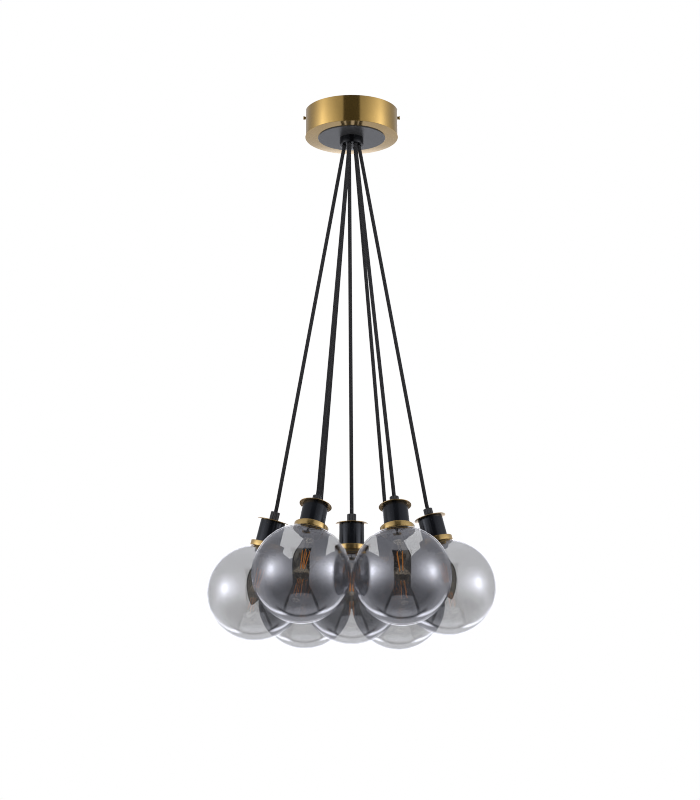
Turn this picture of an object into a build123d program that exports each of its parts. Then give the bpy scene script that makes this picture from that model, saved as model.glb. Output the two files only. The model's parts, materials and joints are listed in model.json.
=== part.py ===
from build123d import *
import math
import os

# Cluster pendant: seven smoked glass globes on equal cords from one brass ceiling canopy.
# Millimetres, +Z up, origin on the canopy's axis in the plane of the ceiling.
# The front of the lamp faces -Y, and +X is to the right.

# Globe
globe_d = 150.0
glass_wall = 2.0
neck_bore = 37.6
neck_wall = 2.4
seat_gap = 0.3          # glass to metal, all round

# Globes in the cluster
globe_gap = 0.5         # between the centre globe and each outer one, in plan
cord_length = 614.7     # free height of the centre pendant's cord, boss to grip
left_rise = 5.6         # how much higher each outer globe hangs than the centre one
front_left_rise = 13.6
front_right_rise = 10.6
right_rise = 14.0
rear_right_rise = 9.0
rear_left_rise = 10.9

# Bulb, a candle lamp with four filament sticks
bulb_d = 35.0
bulb_length = 100.7
bulb_wall = 0.9
cap_d = 13.9
cap_length = 25.0
cap_flare = 2.0         # from the foot of the glass down to the thread's diameter
cap_cone = 3.0          # tapered end of the cap
contact_d = 6.2
contact_h = 1.0
glass_foot_d = 17.0     # glass where it meets the cap
belly_drop = 31.7       # widest place of the glass, below its foot
tip_r = 3.0
tip_turn = 25.0         # degrees between the side and the axis where the round tip starts
filament_d = 1.6
filament_length = 30.0
filament_drop = 17.7    # top of the sticks below the foot of the glass
filament_circle = 6.0   # circle of the four sticks at their lower end
filament_top_circle = 10.0
filament_count = 4
glass_stem_d = 4.4

# Shade ring, lampholder and top disc
ring_d = 53.0
ring_over = 4.3         # its top face above the crown of the globe
ring_web = 1.8
ring_chamfer = 0.6
cup_d = 39.0
cup_height = 34.8
cup_wall = 1.5
cup_roof = 2.0
cup_edge = 0.6
holder_d = 33.6
holder_drop = 16.3      # below the ring's top face
holder_flange_h = 3.7
holder_body_d = 30.0
holder_body_h = 18.7
holder_neck_d = 16.0
holder_gap = 0.1        # holder flange to cup wall
web_gap = 0.3           # holder to ring web
socket_gap = 0.25       # bulb cap to socket wall
socket_depth = 18.0
disc_d = 50.0
disc_t = 1.2
stem_d = 9.8            # threaded stem of the cord grip
stem_length = 15.0
stem_gap = 0.15

# Cord grip and cord
grip_d = 14.4
grip_h = 14.7
grip_chamfer = 1.0
grip_flutes = 12
flute_d = 1.8
grip_recess = 6.0
cord_d = 6.0
recess_gap = 0.2
bend_run = 6.0          # from the grip to the cord's bend
bend_share = 0.45       # part of that run that the bend's curve may take

# Canopy
canopy_d = 152.0
canopy_h = 44.0
canopy_sheet = 1.2
canopy_edge = 1.0
plate_d = 110.0
plate_t = 1.5
boss_d = 39.0
boss_drop = 14.0        # below the canopy's face
boss_edge = 0.8
exit_circle = 23.6      # circle of the six outer cords
centre_exit_x = -3.9    # the centre cord leaves a little left of the axis
exit_gap = 0.3
exit_flare = 1.2
spigot_d = 34.8
spigot_gap = 0.1
nut_d = 46.0
nut_h = 5.0
spigot_over = 1.0       # spigot past its nut
retainer_h = 6.0
retainer_gap = 0.1
tail_gap = 0.5          # ball end of a cord to its tail

# Ceiling bracket
bar_w = 24.0
bar_t = 2.0
bar_bend = 1.8          # outer radius where an ear is bent down
ear_h = 18.0
ear_gap = 0.3
slot_spacing = 100.0
slot_length = 12.0
slot_w = 4.5
cable_hole_d = 12.0
cable_hole_x = 29.0
block_x = 40.0
block_y = 34.0
block_h = 13.0
block_corner = 1.5
block_poles = 4
pole_d = 4.2
pole_depth = 4.0
earth_x = -30.0
earth_d = 4.0
earth_head_d = 8.0
earth_head_h = 3.0
earth_nut_h = 3.2
earth_stem = 9.0

# Side screws
screw_z = -9.6
screw_d = 4.0
screw_gap = 0.05
screw_wall_gap = 0.2
screw_head_d = 6.0
screw_head_h = 2.4
screw_head_edge = 0.4
screw_neck = 0.9        # shank that shows between wall and head
screw_reach = 4.0       # past the ear
knurl_count = 16
knurl_d = 0.7

# Places that follow from the sizes
globe_r = globe_d / 2
ring_top = globe_r + ring_over
cord_r = cord_d / 2
canopy_r = canopy_d / 2
exit_r = exit_circle / 2
boss_low = -canopy_h - boss_drop
plate_low = -canopy_h - plate_t
sheet_top = -canopy_h + canopy_sheet
spigot_top = sheet_top + nut_h + spigot_over
cup_top = ring_top + cup_height
disc_top = cup_top + disc_t
grip_top = disc_top + grip_h
centre_z = boss_low - cord_length - grip_top
ring_radius = globe_d + globe_gap

cap_top = ring_top - holder_drop + socket_depth - seat_gap

# One row for each outer pendant: azimuth, degrees that its top leans in, degrees that it leans
# round the cluster, its globe's height above the centre one, and the azimuth of its cord hole
outer = {
    "left": (180, 14.1, 4.3, left_rise, 180),
    "front_left": (240, 17.0, 2.2, front_left_rise, 252),
    "front_right": (300, 14.0, 2.7, front_right_rise, 300),
    "right": (0, 13.9, 3.5, right_rise, 0),
    "rear_right": (60, 15.0, 1.0, rear_right_rise, 60),
    "rear_left": (120, 17.0, -1.9, rear_left_rise, 111),
}


def save(name, *solids):
    """Write one node, as one solid or a group of separate solids."""
    shape = solids[0] if len(solids) == 1 else Compound(children=list(solids))
    export_step(shape, f"parts/{name}.step")


def turned(*lines):
    """Revolve a closed outline, drawn as radius and height, about the vertical axis."""
    edges = [edge for line in lines for edge in line.edges()]
    return revolve(Plane.XZ * make_face(Wire(edges)), Axis.Z)


def turned_outline(points):
    """Revolve a closed outline of straight edges."""
    return turned(Polyline(*points, close=True))


def rod(radius, low, high, x=0.0, y=0.0):
    """A vertical cylinder between two heights."""
    return Pos(x, y, low) * Cylinder(radius, high - low, align=(Align.CENTER, Align.CENTER, Align.MIN))


def outward(azimuth):
    """Level direction away from the lamp's axis."""
    return Vector(math.cos(math.radians(azimuth)), math.sin(math.radians(azimuth)), 0)


def sphere_height(radius, reach):
    """Height at which a sphere about the globe's centre is reach wide from the axis."""
    return math.sqrt(radius * radius - reach * reach)


def arc_between(radius, start, end):
    """Arc about the globe's centre from one angle above the horizontal to another."""
    middle = (start + end) / 2
    return ThreePointArc(*[(radius * math.cos(a), radius * math.sin(a)) for a in (start, middle, end)])


# Pendant pieces, each drawn with the globe's centre at the origin and the pendant upright

def make_globe():
    """Blown globe with a short open neck."""
    inner_r = globe_r - glass_wall
    bore_r = neck_bore / 2
    neck_r = bore_r + neck_wall
    neck_top = ring_top - ring_web - seat_gap
    low = -math.pi / 2
    outer_end = math.acos(neck_r / globe_r)
    inner_end = math.acos(bore_r / inner_r)
    return turned(
        arc_between(globe_r, low, outer_end),
        Polyline((neck_r, sphere_height(globe_r, neck_r)), (neck_r, neck_top), (bore_r, neck_top),
                 (bore_r, sphere_height(inner_r, bore_r))),
        arc_between(inner_r, inner_end, low),
        Line((0, -inner_r), (0, -globe_r)),
    )


def make_shade_ring():
    """Turned brass ring over the globe's neck, hollowed below to sit over the glass."""
    seat_r = globe_r + seat_gap
    outer_r = ring_d / 2
    inner_r = neck_bore / 2 + neck_wall + seat_gap + holder_gap
    hole_r = holder_d / 2 + web_gap
    web_low = ring_top - ring_web
    edge = ring_chamfer
    return turned(
        arc_between(seat_r, math.acos(inner_r / seat_r), math.acos(outer_r / seat_r)),
        Polyline((outer_r, sphere_height(seat_r, outer_r)), (outer_r, ring_top - edge),
                 (outer_r - edge, ring_top), (hole_r, ring_top), (hole_r, web_low), (inner_r, web_low),
                 (inner_r, sphere_height(seat_r, inner_r))),
    )


def make_cup():
    """Black metal cup that covers the lampholder."""
    outer_r = cup_d / 2
    inner_r = outer_r - cup_wall
    hole_r = stem_d / 2 + stem_gap
    return turned_outline([
        (inner_r, ring_top), (outer_r, ring_top), (outer_r, cup_top - cup_edge), (outer_r - cup_edge, cup_top),
        (hole_r, cup_top), (hole_r, cup_top - cup_roof), (inner_r, cup_top - cup_roof),
    ])


def make_holder():
    """Lampholder inside the cup: flange on the ring, socket below, threaded neck above."""
    low = ring_top - holder_drop
    outer_r = holder_d / 2
    flange_r = cup_d / 2 - cup_wall - holder_gap
    flange_top = ring_top + holder_flange_h
    body_top = ring_top + holder_body_h
    roof = cup_top - cup_roof
    neck_r = holder_neck_d / 2
    thread_r = stem_d / 2 + stem_gap
    thread_low = disc_top - stem_length - seat_gap
    socket_r = cap_d / 2 + socket_gap
    return turned_outline([
        (socket_r, low), (outer_r, low), (outer_r, ring_top), (flange_r, ring_top), (flange_r, flange_top),
        (holder_body_d / 2, flange_top), (holder_body_d / 2, body_top), (neck_r, body_top), (neck_r, roof),
        (thread_r, roof), (thread_r, thread_low), (0, thread_low), (0, low + socket_depth),
        (socket_r, low + socket_depth),
    ])


def make_top_disc():
    """Brass washer on top of the cup."""
    return rod(disc_d / 2, cup_top, disc_top) - rod(stem_d / 2 + stem_gap, cup_top, disc_top)


def make_cord_grip():
    """Fluted cord grip, with its stem down through the disc and the cup."""
    body = turned_outline([
        (0, disc_top), (grip_d / 2, disc_top), (grip_d / 2, grip_top - grip_chamfer),
        (grip_d / 2 - grip_chamfer, grip_top), (0, grip_top),
    ])
    flutes = [rod(flute_d / 2, disc_top, grip_top, flute.position.X, flute.position.Y)
              for flute in PolarLocations(grip_d / 2, grip_flutes)]
    stem = rod(stem_d / 2, disc_top - stem_length, disc_top)
    recess = rod(cord_r + recess_gap, grip_top - grip_recess, grip_top)
    return body - flutes + stem - recess


def make_bulb():
    """Clear candle bulb: glass, screw cap, glass stem and four filament sticks."""
    foot = cap_top - cap_length
    tip = cap_top - bulb_length
    foot_r = glass_foot_d / 2
    belly_r = bulb_d / 2
    turn = math.radians(tip_turn)

    def glass_side(inset):
        """Lines of one side of the glass, from the foot to the tip."""
        round_r = tip_r - inset
        start = (round_r * math.cos(turn), tip + tip_r - round_r * math.sin(turn))
        middle = (round_r * math.sin(math.pi / 4 - turn / 2), tip + tip_r - round_r * math.cos(math.pi / 4 - turn / 2))
        return [
            Spline((foot_r - inset, foot), (belly_r - inset, foot - belly_drop), start,
                   tangents=[(0.25, -1), (-math.sin(turn), -math.cos(turn))]),
            ThreePointArc(start, middle, (0, tip + inset)),
        ]

    glass = turned(*glass_side(0), Line((0, tip), (0, tip + bulb_wall)), *glass_side(bulb_wall),
                   Line((foot_r - bulb_wall, foot), (foot_r, foot)))
    cap_r = cap_d / 2
    contact_r = contact_d / 2
    cap = turned_outline([
        (0, foot), (foot_r, foot), (cap_r, foot + cap_flare), (cap_r, cap_top - contact_h - cap_cone),
        (contact_r, cap_top - contact_h), (contact_r, cap_top), (0, cap_top),
    ])
    high = foot - filament_drop
    core = rod(filament_top_circle / 2 + filament_d, high, high + filament_d) + rod(glass_stem_d / 2, high, foot)
    for stick in PolarLocations(1, filament_count):
        bottom = stick.position * (filament_circle / 2) + Vector(0, 0, high - filament_length)
        line = stick.position * (filament_top_circle / 2) + Vector(0, 0, high) - bottom
        core += Plane(origin=bottom, z_dir=line) * Cylinder(filament_d / 2, line.length + filament_d / 2,
                                                            align=(Align.CENTER, Align.CENTER, Align.MIN))
    return glass, cap, core


# Cord of one pendant, in the lamp's own frame

def make_cord(name, exit_point, bend_point, grip_point):
    """Cord with a ball end in the boss, a straight run, one easy bend and its end in the grip."""
    half_turn = (bend_point - exit_point).get_angle(grip_point - bend_point) / 2
    radius = bend_share * bend_run / math.tan(math.radians(half_turn))
    path = FilletPolyline(exit_point, bend_point, grip_point, radius=radius)
    tube = sweep(Plane(origin=exit_point, z_dir=path % 0) * Circle(cord_r), path)
    print(f"cord_{name}: bend radius {radius:.1f}, length {path.length:.1f}, volume {tube.volume:.0f},"
          f" section times length {math.pi * cord_r ** 2 * path.length:.0f}")
    return tube + Pos(*exit_point) * Sphere(cord_r)


# Canopy pieces

def cord_spots():
    """Places of the seven cord holes, seen from above."""
    return [Vector(centre_exit_x, 0, 0)] + [outward(hole) * exit_r for *_, hole in outer.values()]


def cord_holes(radius, low, high):
    """The seven cord holes, as cutters."""
    return [rod(radius, low, high, spot.X, spot.Y) for spot in cord_spots()]


def make_canopy_shell():
    """Spun brass drum, open to the ceiling, with a hole for the boss and two for the side screws."""
    drum = rod(canopy_r, -canopy_h, 0)
    drum = fillet(drum.edges().group_by(Axis.Z)[0], canopy_edge)
    drum -= rod(canopy_r - canopy_sheet, sheet_top, 0)
    drum -= rod(spigot_d / 2 + spigot_gap, -canopy_h, sheet_top)
    hole = Cylinder(screw_d / 2 + screw_wall_gap, canopy_d + 2 * canopy_sheet, rotation=(0, 90, 0))
    return drum - Pos(0, 0, screw_z) * hole


def make_cover_plate():
    """Black round plate clamped between the boss and the canopy."""
    return (rod(plate_d / 2, plate_low, -canopy_h)
            - rod(spigot_d / 2 + spigot_gap, plate_low, -canopy_h))


def make_cord_boss():
    """Black turned boss with seven flared cord holes and a spigot through the canopy."""
    edge = boss_edge
    body = turned_outline([
        (0, boss_low), (boss_d / 2 - edge, boss_low), (boss_d / 2, boss_low + edge), (boss_d / 2, plate_low),
        (spigot_d / 2, plate_low), (spigot_d / 2, spigot_top), (0, spigot_top),
    ])
    hole_r = cord_r + exit_gap
    flare = turned_outline([(0, boss_low), (hole_r + exit_flare, boss_low), (hole_r, boss_low + exit_flare),
                            (0, boss_low + exit_flare)])
    flares = [Pos(*spot) * flare for spot in cord_spots()]
    return body - cord_holes(hole_r, boss_low, spigot_top) - flares


def make_boss_nut():
    """Thin eight-sided ring nut that clamps boss, plate and canopy together."""
    blank = Pos(0, 0, sheet_top) * extrude(RegularPolygon(nut_d / 2, 8, major_radius=False), nut_h)
    return blank - rod(spigot_d / 2 + spigot_gap, sheet_top, sheet_top + nut_h)


def make_cord_retainer():
    """Round clamp on the spigot that grips the seven cords."""
    return (rod(spigot_d / 2 - seat_gap, spigot_top, spigot_top + retainer_h)
            - cord_holes(cord_r + retainer_gap, spigot_top, spigot_top + retainer_h))


def make_cord_tails():
    """The seven cords inside the canopy, from the boss up to the terminal block."""
    return cord_holes(cord_r, boss_low + cord_r + tail_gap, -bar_t - block_h)


def make_ceiling_bracket():
    """Steel strap with two slots, a cable hole, an earth hole and two bent ears."""
    wall_r = canopy_r - canopy_sheet
    ear_x = math.sqrt(wall_r ** 2 - (bar_w / 2) ** 2) - ear_gap
    bar = Pos(0, 0, -bar_t / 2) * Box(2 * ear_x, bar_w, bar_t)
    ear = Pos(ear_x - bar_t / 2, 0, -ear_h / 2) * Box(bar_t, bar_w, ear_h)
    bracket = bar + ear + mirror(ear, Plane.YZ)
    outer_bends = bracket.edges().filter_by(Axis.Y).group_by(Axis.Z)[-1]
    bracket = fillet(outer_bends, bar_bend)
    slot = Pos(0, 0, -bar_t) * extrude(SlotOverall(slot_length, slot_w), bar_t)
    bracket -= [Pos(slot_spacing / 2, 0, 0) * slot, Pos(-slot_spacing / 2, 0, 0) * slot]
    bracket -= rod(cable_hole_d / 2, -bar_t, 0, cable_hole_x)
    bracket -= rod(earth_d / 2 + screw_gap, -bar_t, 0, earth_x)
    thread = Cylinder(screw_d / 2 + screw_gap, 2 * (ear_x + bar_t), rotation=(0, 90, 0))
    return bracket - Pos(0, 0, screw_z) * thread


def make_terminal_block():
    """Terminal block under the strap, with a row of screw wells along its front and back."""
    block = Pos(0, 0, -bar_t - block_h / 2) * Box(block_x, block_y, block_h)
    block = fillet(block.edges().filter_by(Axis.Z), block_corner)
    pitch = block_x / block_poles
    wells = [Pos((pole - (block_poles - 1) / 2) * pitch, side * block_y / 2, -bar_t - block_h / 2)
             * Cylinder(pole_d / 2, 2 * pole_depth, rotation=(90, 0, 0))
             for pole in range(block_poles) for side in (-1, 1)]
    return block - wells


def make_earth_terminal():
    """Brass earth screw through the strap, with its nut below."""
    head_low = -bar_t - earth_nut_h
    nut = Pos(earth_x, 0, head_low) * extrude(RegularPolygon(earth_head_d / 2, 6, major_radius=False), earth_nut_h)
    washer_low = head_low - earth_head_h
    return nut + rod(earth_d / 2, -bar_t - earth_stem, 0, earth_x) + rod(
        earth_head_d / 2, washer_low, head_low, earth_x)


def make_side_screw():
    """Right-hand side screw: shank in the ear's thread, knurled head outside the wall."""
    wall_r = canopy_r - canopy_sheet
    ear_x = math.sqrt(wall_r ** 2 - (bar_w / 2) ** 2) - ear_gap
    head_start = canopy_r + screw_neck
    shank_start = ear_x - bar_t - screw_reach
    knurls = [rod(knurl_d / 2, 0, screw_head_h, spot.position.X, spot.position.Y)
              for spot in PolarLocations(screw_head_d / 2, knurl_count)]
    head = rod(screw_head_d / 2, 0, screw_head_h)
    head = chamfer(head.edges().group_by(Axis.Z)[-1], screw_head_edge) - knurls
    shank = rod(screw_d / 2, shank_start - head_start, 0)
    return Pos(head_start, 0, screw_z) * (Rot(0, 90, 0) * (head + shank))


def save_pendant(name, place, cord):
    """Write the seven nodes of one pendant at its place."""
    save(f"cord_{name}", cord)
    save(f"cord_grip_{name}", place * cord_grip)
    save(f"top_disc_{name}", place * top_disc)
    save(f"lampholder_{name}", place * cup, place * holder)
    save(f"shade_ring_{name}", place * shade_ring)
    save(f"globe_{name}", place * globe)
    save(f"bulb_{name}", *[place * solid for solid in bulb])


os.makedirs("parts", exist_ok=True)

save("ceiling_bracket", make_ceiling_bracket())
save("terminal_block", make_terminal_block())
save("earth_terminal", make_earth_terminal())
save("canopy_shell", make_canopy_shell())
save("cover_plate", make_cover_plate())
save("cord_boss", make_cord_boss())
save("boss_nut", make_boss_nut())
save("cord_retainer", make_cord_retainer())
save("cord_tails", *make_cord_tails())
right_screw = make_side_screw()
save("side_screw_right", right_screw)
save("side_screw_left", mirror(right_screw, Plane.YZ))

globe = make_globe()
shade_ring = make_shade_ring()
cup = make_cup()
holder = make_holder()
top_disc = make_top_disc()
cord_grip = make_cord_grip()
bulb = make_bulb()

grip_floor = grip_top - grip_recess
bend_height = grip_top + bend_run

# Centre pendant, hanging straight
centre_cord = make_cord("centre", Vector(centre_exit_x, 0, boss_low), Vector(0, 0, centre_z + bend_height),
                        Vector(0, 0, centre_z + grip_floor))
save_pendant("centre", Location((0, 0, centre_z)), centre_cord)

# Outer pendants, leaning in against the centre globe
for name, (azimuth, lean, twist, rise, hole) in outer.items():
    out = outward(azimuth)
    side = Vector(0, 0, 1).cross(out)
    axis = Vector(0, 0, 1) - out * math.tan(math.radians(lean)) + side * math.tan(math.radians(twist))
    axis = axis.normalized()
    middle = out * ring_radius + Vector(0, 0, centre_z + rise)
    place = Plane(origin=middle, x_dir=Vector(0, 0, 1).cross(axis), z_dir=axis).location
    cord = make_cord(name, outward(hole) * exit_r + Vector(0, 0, boss_low), middle + axis * bend_height,
                     middle + axis * grip_floor)
    save_pendant(name, place, cord)
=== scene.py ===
import math
import bpy
from mathutils import Matrix, Vector
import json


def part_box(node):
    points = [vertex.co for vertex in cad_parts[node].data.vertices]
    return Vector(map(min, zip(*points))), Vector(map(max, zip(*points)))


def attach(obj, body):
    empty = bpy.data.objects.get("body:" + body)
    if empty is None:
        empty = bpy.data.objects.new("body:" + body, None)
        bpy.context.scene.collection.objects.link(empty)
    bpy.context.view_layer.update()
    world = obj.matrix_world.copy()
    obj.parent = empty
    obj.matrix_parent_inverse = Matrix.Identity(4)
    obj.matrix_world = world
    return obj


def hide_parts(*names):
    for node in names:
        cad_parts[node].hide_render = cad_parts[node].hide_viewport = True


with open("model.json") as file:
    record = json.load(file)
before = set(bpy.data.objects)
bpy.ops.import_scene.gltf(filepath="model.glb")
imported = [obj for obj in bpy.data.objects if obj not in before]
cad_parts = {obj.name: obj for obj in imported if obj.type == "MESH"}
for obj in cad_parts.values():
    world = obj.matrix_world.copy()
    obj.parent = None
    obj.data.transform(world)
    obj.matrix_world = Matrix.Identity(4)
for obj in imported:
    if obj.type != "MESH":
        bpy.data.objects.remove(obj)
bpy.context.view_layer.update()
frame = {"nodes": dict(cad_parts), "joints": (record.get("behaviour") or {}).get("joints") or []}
print("frame loaded")

mm = 0.001
joints = {joint["name"]: joint for joint in frame["joints"]}
pendantNames = ["centre", "left", "front_left", "front_right", "right", "rear_right", "rear_left"]


# tools for modelling

bevelFrom = 40.0        # edges sharper than this are bevelled, degrees
bevelSegments = 3
weldDistance = 0.005    # mm

# faces that meet at less than this are shaded as one, degrees
turnedSmooth = 30
smallSmooth = 40
blownSmooth = 60


def deselectAll():
    bpy.ops.object.select_all(action='DESELECT')


def startPiece(name):
    # the primitive that was just added becomes the named piece
    piece = bpy.context.active_object
    piece.name = name
    piece.data.name = name
    return piece


def onlyThis(piece):
    deselectAll()
    piece.select_set(True)
    bpy.context.view_layer.objects.active = piece


def removePiece(piece):
    bpy.data.objects.remove(piece)


def finishPiece(piece, smoothAngle, bevel=0.0):
    # bevel the hard edges, smooth the rest, and leave the object at the origin
    onlyThis(piece)
    if bevel:
        modifier = piece.modifiers.new("edges", 'BEVEL')
        modifier.width = bevel * mm
        modifier.segments = bevelSegments
        modifier.limit_method = 'ANGLE'
        modifier.angle_limit = math.radians(bevelFrom)
        bpy.ops.object.modifier_apply(modifier=modifier.name)
    bpy.ops.object.transform_apply(location=True, rotation=True, scale=True)
    bpy.ops.object.shade_smooth_by_angle(angle=math.radians(smoothAngle))
    return piece


def arcPoints(radius, startDeg, endDeg, count, middle=(0.0, 0.0)):
    # points of an arc as (radius, height), both ends included
    turns = [math.radians(startDeg + (endDeg - startDeg) * i / count) for i in range(count + 1)]
    return [(middle[0] + radius * math.cos(t), middle[1] + radius * math.sin(t)) for t in turns]


def latheOutline(name, outline, steps):
    # one vertex is extruded along the outline, given in mm, and the line is spun about Z
    deselectAll()
    bpy.ops.mesh.primitive_circle_add(vertices=3, radius=mm, enter_editmode=True, location=(0, 0, 0))
    bpy.ops.mesh.merge(type='CENTER')
    last = Vector((0, 0, 0))
    for index, (radius, height) in enumerate(outline):
        place = Vector((radius * mm, 0, height * mm))
        if index == 0:
            bpy.ops.transform.translate(value=place - last)
        else:
            bpy.ops.mesh.extrude_region_move(TRANSFORM_OT_translate={"value": place - last})
        last = place
    bpy.ops.mesh.select_all(action='SELECT')
    bpy.ops.mesh.spin(steps=steps, angle=2 * math.pi, center=(0, 0, 0), axis=(0, 0, 1))
    bpy.ops.mesh.select_all(action='SELECT')
    bpy.ops.mesh.remove_doubles(threshold=weldDistance * mm)
    bpy.ops.mesh.normals_make_consistent(inside=False)
    bpy.ops.object.mode_set(mode='OBJECT')
    return startPiece(name)


def closedOutline(points):
    return points + [points[0]]


def cutOut(piece, cutter):
    # the cutter's shape is taken out of the piece
    cut = piece.modifiers.new("hole", 'BOOLEAN')
    cut.operation = 'DIFFERENCE'
    cut.object = cutter
    onlyThis(piece)
    bpy.ops.object.modifier_apply(modifier=cut.name)
    removePiece(cutter)


def sinkSides(piece, steps, scaleAt):
    # draws points in towards the axis, by the scale for their radius and height in mm and their step
    for vertex in piece.data.vertices:
        radius = math.hypot(vertex.co.x, vertex.co.y)
        step = round(math.atan2(vertex.co.y, vertex.co.x) / (2 * math.pi) * steps)
        scale = scaleAt(radius / mm, vertex.co.z / mm, step)
        vertex.co.x *= scale
        vertex.co.y *= scale


def copyTo(piece, name, place):
    # a copy with its own mesh, put in place in the mesh
    twin = piece.copy()
    twin.data = piece.data.copy()
    twin.name = name
    twin.data.name = name
    twin.data.transform(place)
    bpy.context.scene.collection.objects.link(twin)
    return twin


def dressPiece(piece, material):
    piece.data.materials.clear()
    piece.data.materials.append(material)


def settlePiece(piece, material, body, node):
    # its finish, the body that it rides on, and the node that it replaces
    dressPiece(piece, material)
    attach(piece, body)
    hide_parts(node)


# shader maths

class Sock:
    # wraps one output socket, or a plain number, so that shader maths reads as an expression
    def __init__(self, tree, value):
        self.tree = tree
        self.value = value

    def link(self, socket):
        if isinstance(self.value, bpy.types.NodeSocket):
            self.tree.links.new(self.value, socket)
        else:
            socket.default_value = self.value

    def maths(self, operation, *others):
        node = self.tree.nodes.new("ShaderNodeMath")
        node.operation = operation
        for index, item in enumerate((self,) + others):
            item = item if isinstance(item, Sock) else Sock(self.tree, item)
            item.link(node.inputs[index])
        return Sock(self.tree, node.outputs[0])

    def __add__(self, other):
        return self.maths('ADD', other)

    def __radd__(self, other):
        return self.maths('ADD', other)

    def __sub__(self, other):
        return self.maths('SUBTRACT', other)

    def __rsub__(self, other):
        return Sock(self.tree, other).maths('SUBTRACT', self)

    def __mul__(self, other):
        return self.maths('MULTIPLY', other)

    def __truediv__(self, other):
        return self.maths('DIVIDE', other)


class Shader:
    # one node tree; node() adds any node from its type, its settings and its inputs
    def __init__(self, tree):
        self.tree = tree
        tree.nodes.clear()

    def node(self, kind, settings=None, output=0, **inputs):
        made = self.tree.nodes.new(kind)
        for name, value in (settings or {}).items():
            setattr(made, name, value)
        for name, value in inputs.items():
            numbered = name[0] == "i" and name[1:].isdigit()
            socket = made.inputs[int(name[1:]) if numbered else name.replace("_", " ")]
            if isinstance(value, Sock):
                value.link(socket)
            else:
                socket.default_value = value
        return Sock(self.tree, made.outputs[output])

    def coords(self, output="Object"):
        made = self.tree.nodes.new("ShaderNodeTexCoord")
        return Sock(self.tree, made.outputs[output])

    def lightPath(self):
        made = self.tree.nodes.new("ShaderNodeLightPath")
        return {out.name: Sock(self.tree, out) for out in made.outputs}

    def split(self, vector):
        made = self.tree.nodes.new("ShaderNodeSeparateXYZ")
        vector.link(made.inputs[0])
        return [Sock(self.tree, out) for out in made.outputs]

    def ramp(self, factor, low, high, start=0.0, end=1.0):
        return self.node("ShaderNodeMapRange", {"interpolation_type": 'SMOOTHSTEP'},
                         Value=factor, From_Min=low, From_Max=high, To_Min=start, To_Max=end)

    def band(self, value, middle, half):
        # 1 on a soft-edged band about the middle, 0 beyond its half width
        away = (value - middle).maths('ABSOLUTE') / half
        return 1 - self.ramp(away, 0.5, 1.0)

    def noise(self, vector, scale, detail=2.0):
        return self.node("ShaderNodeTexNoise", Vector=vector, Scale=scale, Detail=detail, Roughness=0.5)

    def bump(self, height, depth):
        return self.node("ShaderNodeBump", Height=height, Distance=depth * mm, Strength=1.0)

    def mixColour(self, factor, first, second):
        made = self.tree.nodes.new("ShaderNodeMix")
        made.data_type = 'RGBA'
        factor.link(made.inputs[0])
        made.inputs[6].default_value = (*first, 1)
        made.inputs[7].default_value = (*second, 1)
        return Sock(self.tree, made.outputs[2])

    def mixShader(self, factor, first, second):
        return self.node("ShaderNodeMixShader", i0=factor, i1=first, i2=second)

    def output(self, surface):
        made = self.tree.nodes.new("ShaderNodeOutputMaterial")
        surface.link(made.inputs[0])

    def principled(self, **inputs):
        self.output(self.node("ShaderNodeBsdfPrincipled", **inputs))


def newMaterial(name):
    material = bpy.data.materials.new(name)
    material.use_nodes = True
    return material, Shader(material.node_tree)


def scaled(colour, factor):
    return tuple(part * factor for part in colour)


# camera

photoView = {
    "distance": 3.351,       # metres in front of the canopy's axis
    "height": -1.342,        # below the ceiling
    "pitchUp": 14.30,        # degrees
    "turnLeft": 0.045,       # degrees
    "focalPx": 2176.0,
    "framePx": 800.0,
    "sensor": 36.0,
}

cameraData = bpy.data.cameras.new("camera")
cameraData.lens = photoView["focalPx"] * photoView["sensor"] / photoView["framePx"]
cameraData.sensor_width = photoView["sensor"]
camera = bpy.data.objects.new("camera", cameraData)
camera.location = (0, -photoView["distance"], photoView["height"])
camera.rotation_euler = (math.radians(90 + photoView["pitchUp"]), 0, math.radians(photoView["turnLeft"]))
bpy.context.scene.collection.objects.link(camera)
bpy.context.scene.camera = camera
print("camera set")


# places that come from the frame

globeRadius = 75.0      # mm
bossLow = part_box("cord_boss")[0].z


def pendantPlace(name):
    # frame of one pendant: origin at its globe's centre, Z up its own axis
    low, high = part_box("globe_" + name)
    middle = Vector(((low.x + high.x) / 2, (low.y + high.y) / 2, low.z + globeRadius * mm))
    axis = -Vector(joints["globe_off_" + name]["axis"]).normalized()
    side = Vector((1, 0, 0)) if name == "centre" else Vector((0, 0, 1)).cross(axis).normalized()
    turn = Matrix((side, axis.cross(side), axis)).transposed().to_4x4()
    return Matrix.Translation(middle) @ turn


def pendantBody(name):
    return "canopy" if name == "centre" else "pendant_" + name


places = {name: pendantPlace(name) for name in pendantNames}


# cords

cordSizes = {
    "diameter": 6.0,
    "gripFloor": 124.0,     # cord's end above the globe's centre
    "gripTop": 130.0,
    "bendRun": 6.0,         # bend above the grip
    "centreExit": -3.9,     # the middle cord leaves the boss this far to the left
    "roundSteps": 6,
    "bendSteps": 24,
}

braidLook = {
    "length": 624.0,        # a usual cord's length, which the yarns' pitch is worked out for
    "yarnsRound": 8,        # pairs of yarns round the braid
    "yarnPitch": 9.0,       # length of one yarn's turn, mm
    "fuzzScale": 2500.0,
    "weaveHeight": 0.8,
    "fuzzHeight": 0.4,
    "fuzzShade": 0.5,
    "shadeRange": (0.1, 1.3),
    "dark": (0.006, 0.006, 0.007),
    "pale": (0.036, 0.036, 0.039),
    "roughness": 0.85,
    "specular": 0.12,
    "depth": 0.35,          # mm
}


def cordExit(name):
    # the centre cord's hole lies beside the axis, and each other cord swings about its own
    if name == "centre":
        return Vector((cordSizes["centreExit"] * mm, 0, bossLow))
    return Vector(joints["swing_" + name]["pos_m"])


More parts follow.
